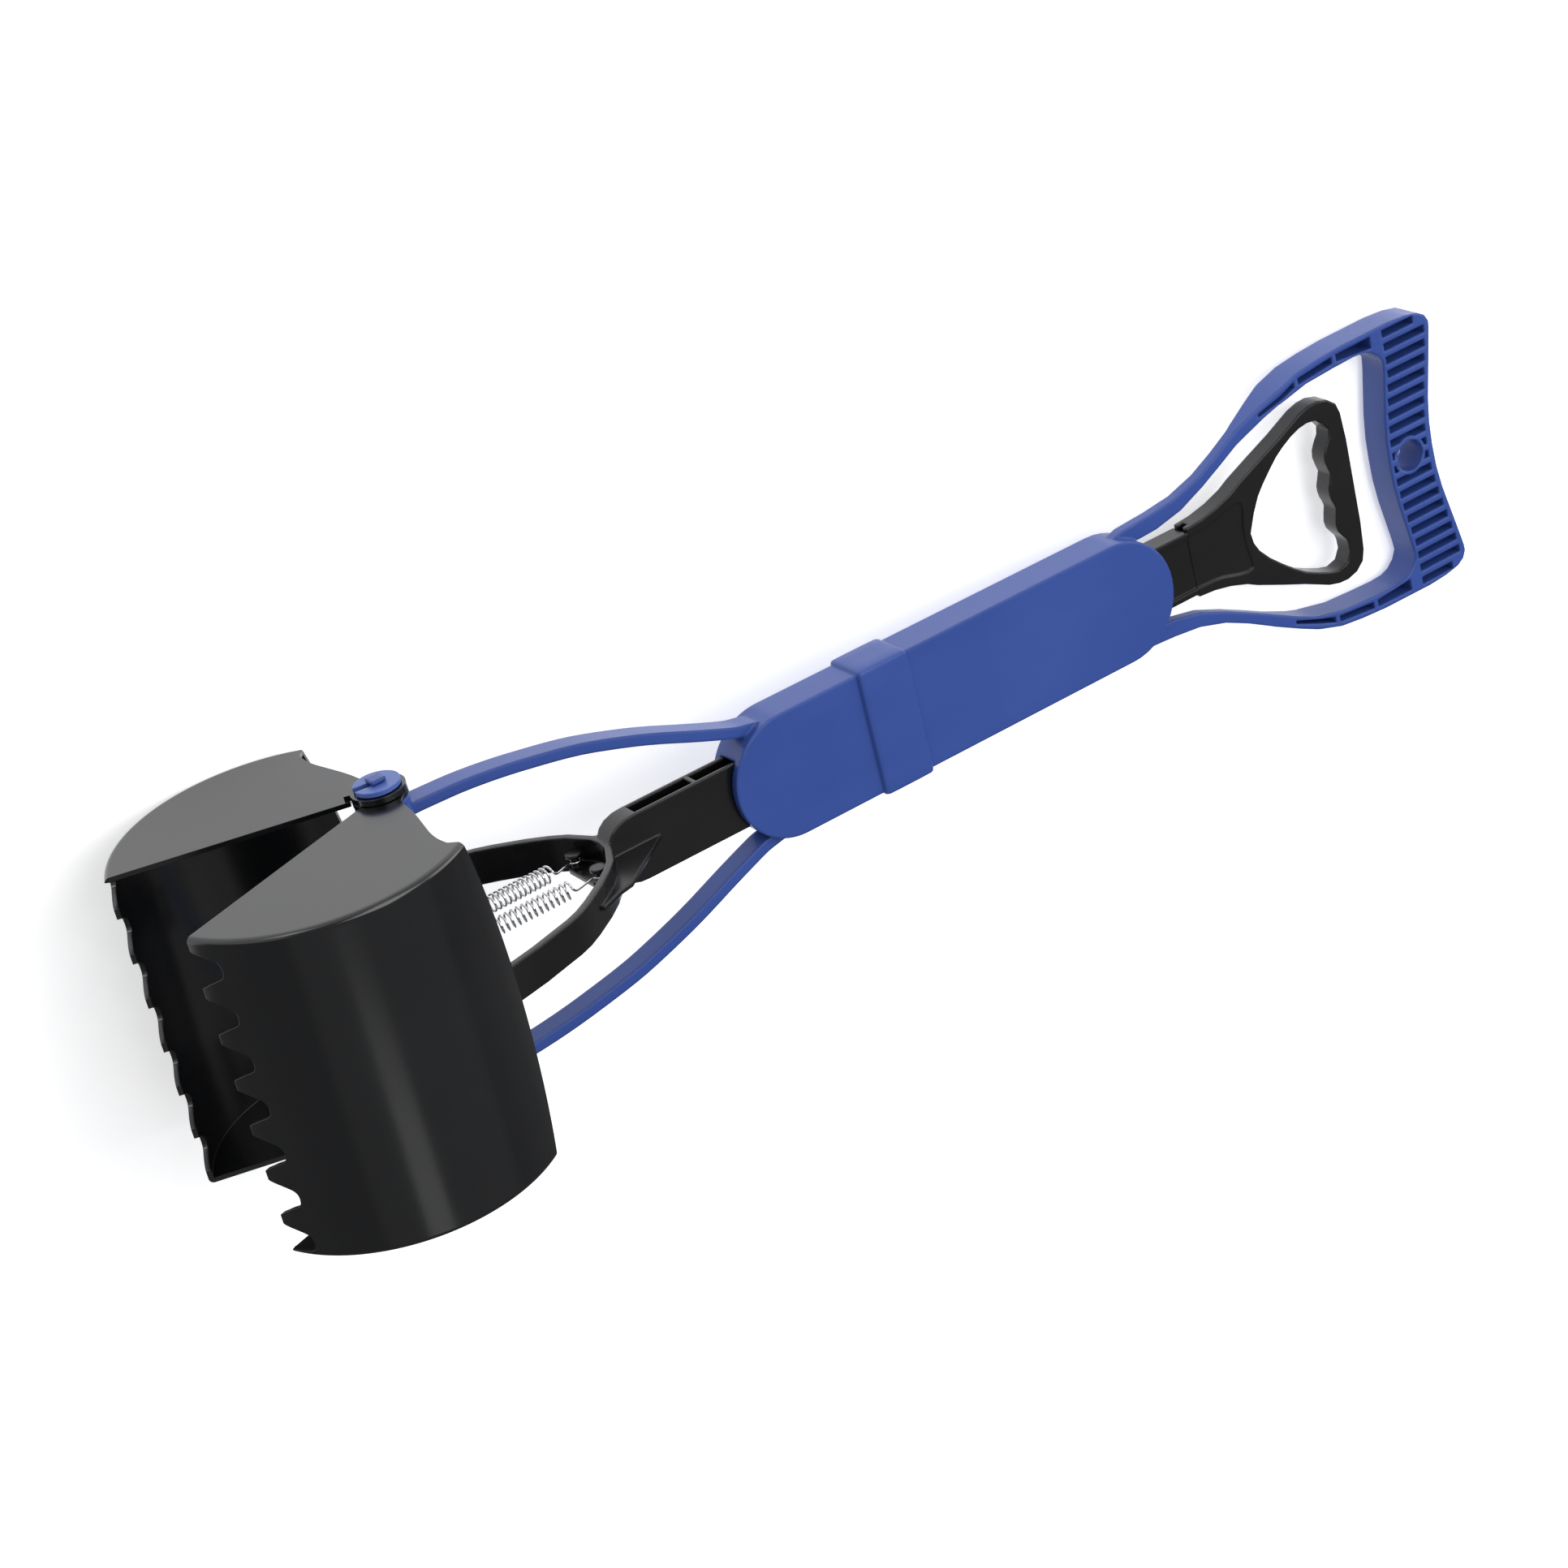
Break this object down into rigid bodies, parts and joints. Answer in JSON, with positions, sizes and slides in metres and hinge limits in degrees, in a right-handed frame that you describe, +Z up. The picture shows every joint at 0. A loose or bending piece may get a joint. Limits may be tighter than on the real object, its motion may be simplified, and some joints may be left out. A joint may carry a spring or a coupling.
{
  "type": "pooper scooper",
  "caption": "Long-handled scooper with two toothed jaws on one axle, opened by a pull grip inside a loop handle through a rod with two straps, with return springs.",
  "frame": {"origin": "centre of the footprint on the ground, with the tool lying on its rear jaw and its handle bar as in the picture", "axes": "+Y from the jaws towards the handle bar, +Z up, +X across the tool along the jaws' axle"},
  "size_m": [0.153, 0.63, 0.161],
  "materials": {
    "blue_plastic": "satin moulded polypropylene",
    "light_blue_plastic": "satin moulded polypropylene",
    "black_plastic": "satin moulded polypropylene",
    "black_gloss_plastic": "glossy moulded plastic",
    "spring_wire": "bright drawn wire",
    "pin_steel": "plain steel"
  },
  "bodies": {
    "frame": {"lower_frame": "blue_plastic", "upper_frame": "blue_plastic", "axle_clip_left": "light_blue_plastic", "axle_clip_right": "light_blue_plastic", "spring_cross_rod": "pin_steel"},
    "pull_rod": {"fork_rod": "black_plastic", "pull_grip": "black_plastic", "front_strap_pin": "pin_steel", "rear_strap_pin": "pin_steel", "front_spring": "spring_wire", "rear_spring": "spring_wire"},
    "front_jaw": {"front_jaw": "black_gloss_plastic"},
    "rear_jaw": {"rear_jaw": "black_gloss_plastic"}
  },
  "joints": [
    {"name": "rod_slide", "type": "slide", "parent": "frame", "child": "pull_rod", "axis": [0, 0.9916, -0.129], "range_m": [-0.0193, 0.0115], "stiffness_N_per_m": 2000, "deforming": ["front_spring", "rear_spring"]},
    {"name": "front_jaw_hinge", "type": "hinge", "parent": "frame", "child": "front_jaw", "pos_m": [0, -0.20918, 0.07548], "axis": [-1, 0, 0], "range_deg": [-20, 12]},
    {"name": "rear_jaw_hinge", "type": "hinge", "parent": "frame", "child": "rear_jaw", "pos_m": [0, -0.20918, 0.07548], "axis": [1, 0, 0], "range_deg": [-20, 12]}
  ],
  "couplings": [
    {"joint": "front_jaw_hinge", "follows": "rod_slide", "rad_per_m": 18.08},
    {"joint": "rear_jaw_hinge", "follows": "rod_slide", "rad_per_m": 18.08}
  ]
}
